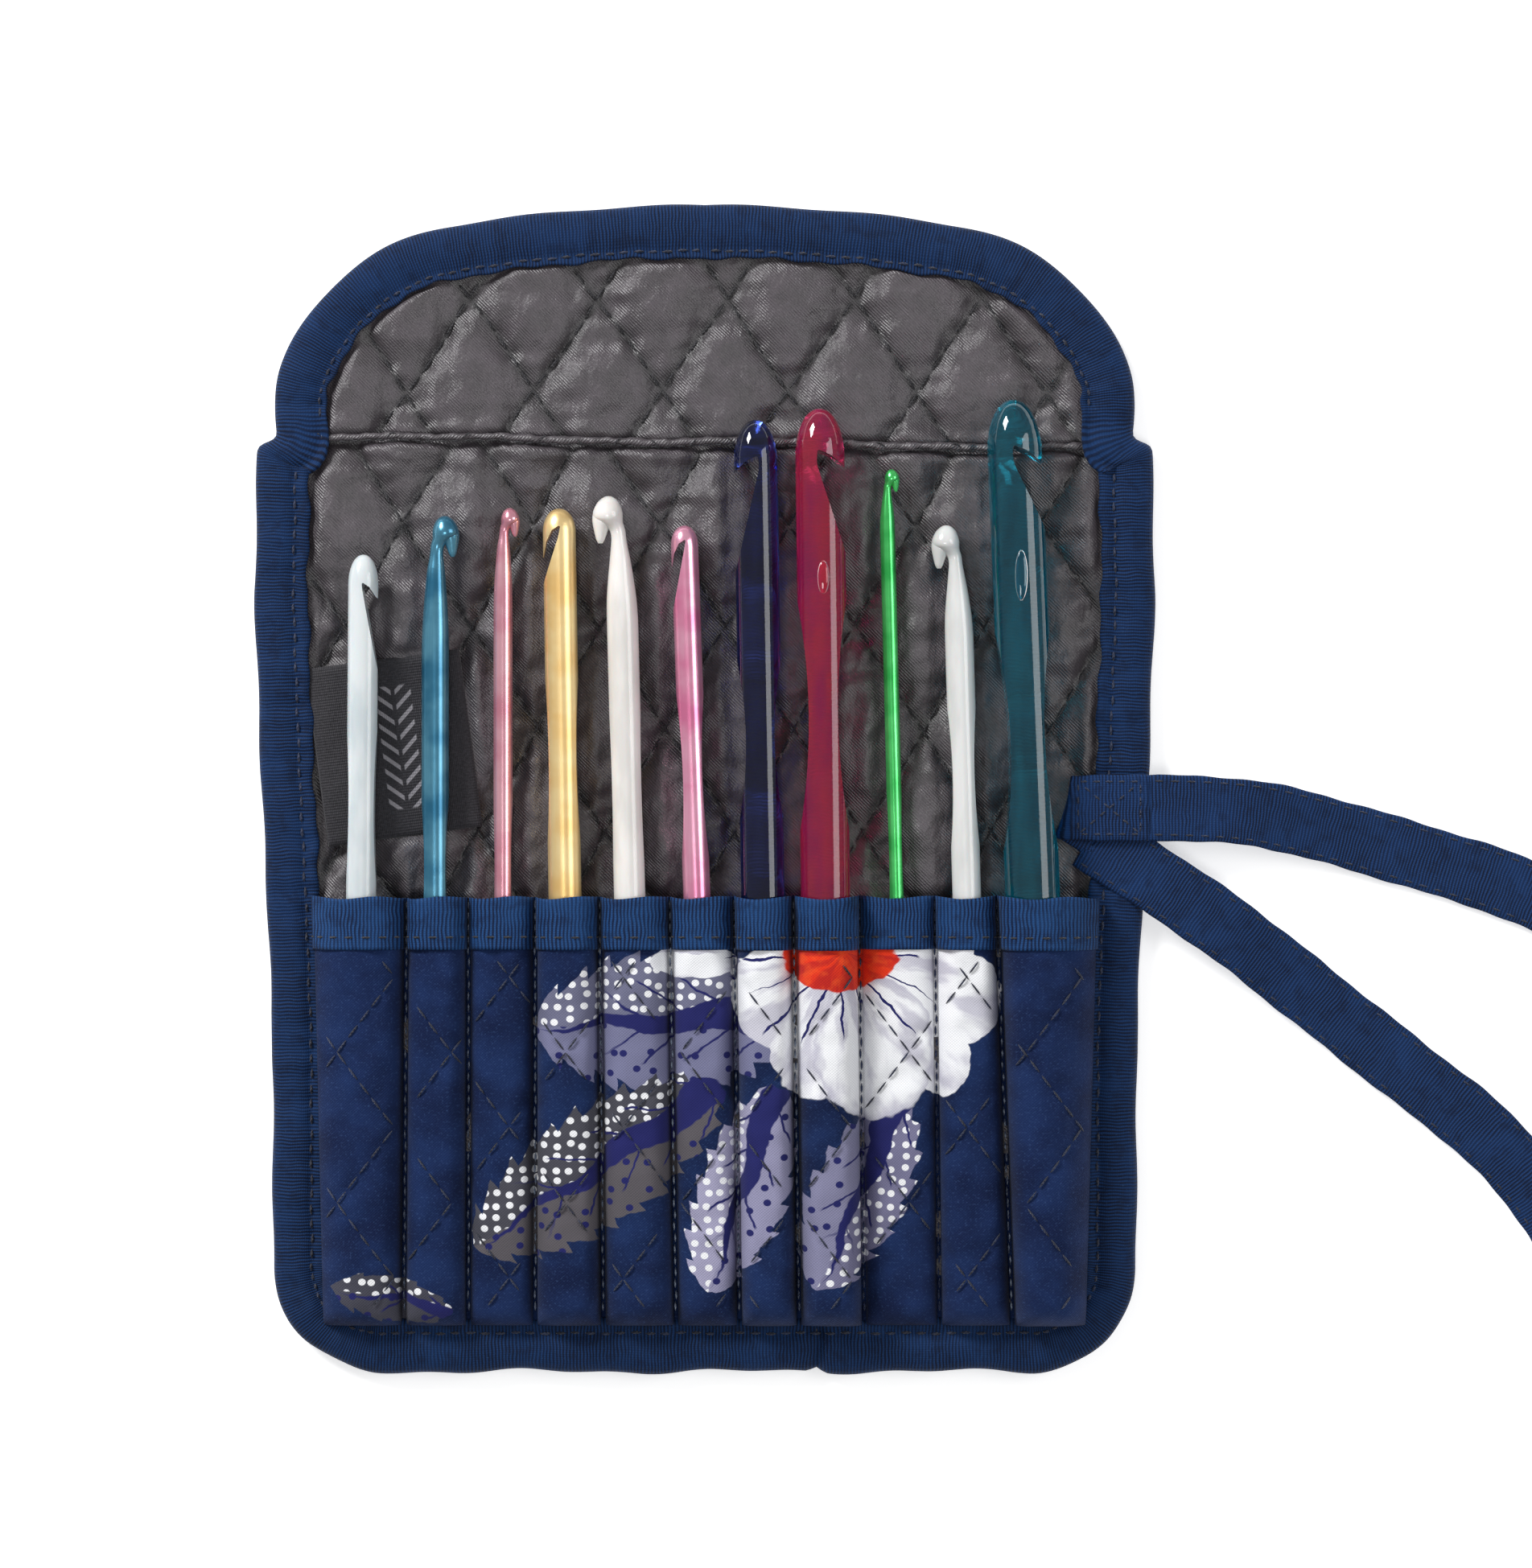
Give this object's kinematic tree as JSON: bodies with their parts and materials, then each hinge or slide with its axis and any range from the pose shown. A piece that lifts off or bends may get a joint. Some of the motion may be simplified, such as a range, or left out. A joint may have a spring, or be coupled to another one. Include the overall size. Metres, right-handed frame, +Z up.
{
  "type": "crochet hook set in fabric case",
  "caption": "Crochet hooks of graded thickness standing in the stitched pockets of a quilted fabric case with a folding flap and two tape ties.",
  "frame": {"origin": "on the table, under the middle of the open case's outline (ties left out)", "axes": "+Y from the pocket end to the flap, +Z up, +X to the right seen from above"},
  "size_m": [0.2771, 0.2553, 0.016],
  "materials": {
    "outer_cloth": "woven cotton",
    "wadding": "loft polyester",
    "lining_satin": "quilted satin",
    "binding_tape": "ribbed grosgrain",
    "printed_cotton": "printed cotton",
    "mouth_tape": "ribbed grosgrain",
    "thread": "spun thread",
    "label_weave": "woven satin",
    "tie_tape": "folded cotton tape",
    "plastic_white": "semi-gloss",
    "anodised_blue": "anodised satin",
    "anodised_rose": "anodised satin",
    "anodised_gold": "anodised satin",
    "plastic_cream": "semi-gloss",
    "anodised_magenta": "anodised satin",
    "acrylic_blue": "clear polished",
    "acrylic_purple": "clear polished",
    "anodised_green": "anodised satin",
    "plastic_pearl": "semi-gloss",
    "acrylic_teal": "clear polished"
  },
  "bodies": {
    "case": {"body_outer": "outer_cloth", "body_wadding": "wadding", "body_lining": "lining_satin", "body_binding": "binding_tape", "fold_seam": "lining_satin", "pocket_panel": "printed_cotton", "pocket_tape": "mouth_tape", "channel_stitches": "thread", "label": "label_weave", "tie_anchor": "tie_tape", "tie_upper": "tie_tape", "tie_lower": "tie_tape"},
    "flap": {"flap_outer": "outer_cloth", "flap_wadding": "wadding", "flap_lining": "lining_satin", "flap_binding": "binding_tape"},
    "hook_01_white": {"hook_01_white": "plastic_white"},
    "hook_02_blue": {"hook_02_blue": "anodised_blue"},
    "hook_03_rose": {"hook_03_rose": "anodised_rose"},
    "hook_04_gold": {"hook_04_gold": "anodised_gold"},
    "hook_05_cream": {"hook_05_cream": "plastic_cream"},
    "hook_06_magenta": {"hook_06_magenta": "anodised_magenta"},
    "hook_07_blue_clear": {"hook_07_blue_clear": "acrylic_blue"},
    "hook_08_purple_clear": {"hook_08_purple_clear": "acrylic_purple"},
    "hook_09_green": {"hook_09_green": "anodised_green"},
    "hook_10_pearl": {"hook_10_pearl": "plastic_pearl"},
    "hook_11_teal": {"hook_11_teal": "acrylic_teal"}
  },
  "joints": [
    {"name": "flap_fold", "type": "hinge", "parent": "case", "child": "flap", "pos_m": [0, 0.0635, 0.0122], "axis": [-1, 0, 0], "range_deg": [-178, 0]},
    {"name": "slide_01_white", "type": "slide", "parent": "case", "child": "hook_01_white", "axis": [0.0067, 1, 0], "range_m": [0, 0.08]},
    {"name": "slide_02_blue", "type": "slide", "parent": "case", "child": "hook_02_blue", "axis": [0, 1, 0], "range_m": [0, 0.08]},
    {"name": "slide_03_rose", "type": "slide", "parent": "case", "child": "hook_03_rose", "axis": [0, 1, 0], "range_m": [0, 0.08]},
    {"name": "slide_04_gold", "type": "slide", "parent": "case", "child": "hook_04_gold", "axis": [-0.0156, 0.9999, 0], "range_m": [0, 0.08]},
    {"name": "slide_05_cream", "type": "slide", "parent": "case", "child": "hook_05_cream", "axis": [-0.0261, 0.9997, 0], "range_m": [0, 0.08]},
    {"name": "slide_06_magenta", "type": "slide", "parent": "case", "child": "hook_06_magenta", "axis": [-0.0351, 0.9994, 0], "range_m": [0, 0.08]},
    {"name": "slide_07_blue_clear", "type": "slide", "parent": "case", "child": "hook_07_blue_clear", "axis": [-0.0171, 0.9999, 0], "range_m": [0, 0.08]},
    {"name": "slide_08_purple_clear", "type": "slide", "parent": "case", "child": "hook_08_purple_clear", "axis": [-0.0128, 0.9999, 0], "range_m": [0, 0.08]},
    {"name": "slide_09_green", "type": "slide", "parent": "case", "child": "hook_09_green", "axis": [-0.0247, 0.9997, 0], "range_m": [0, 0.08]},
    {"name": "slide_10_pearl", "type": "slide", "parent": "case", "child": "hook_10_pearl", "axis": [-0.0293, 0.9996, 0], "range_m": [0, 0.08]},
    {"name": "slide_11_teal", "type": "slide", "parent": "case", "child": "hook_11_teal", "axis": [-0.0412, 0.9992, 0], "range_m": [0, 0.08]}
  ]
}
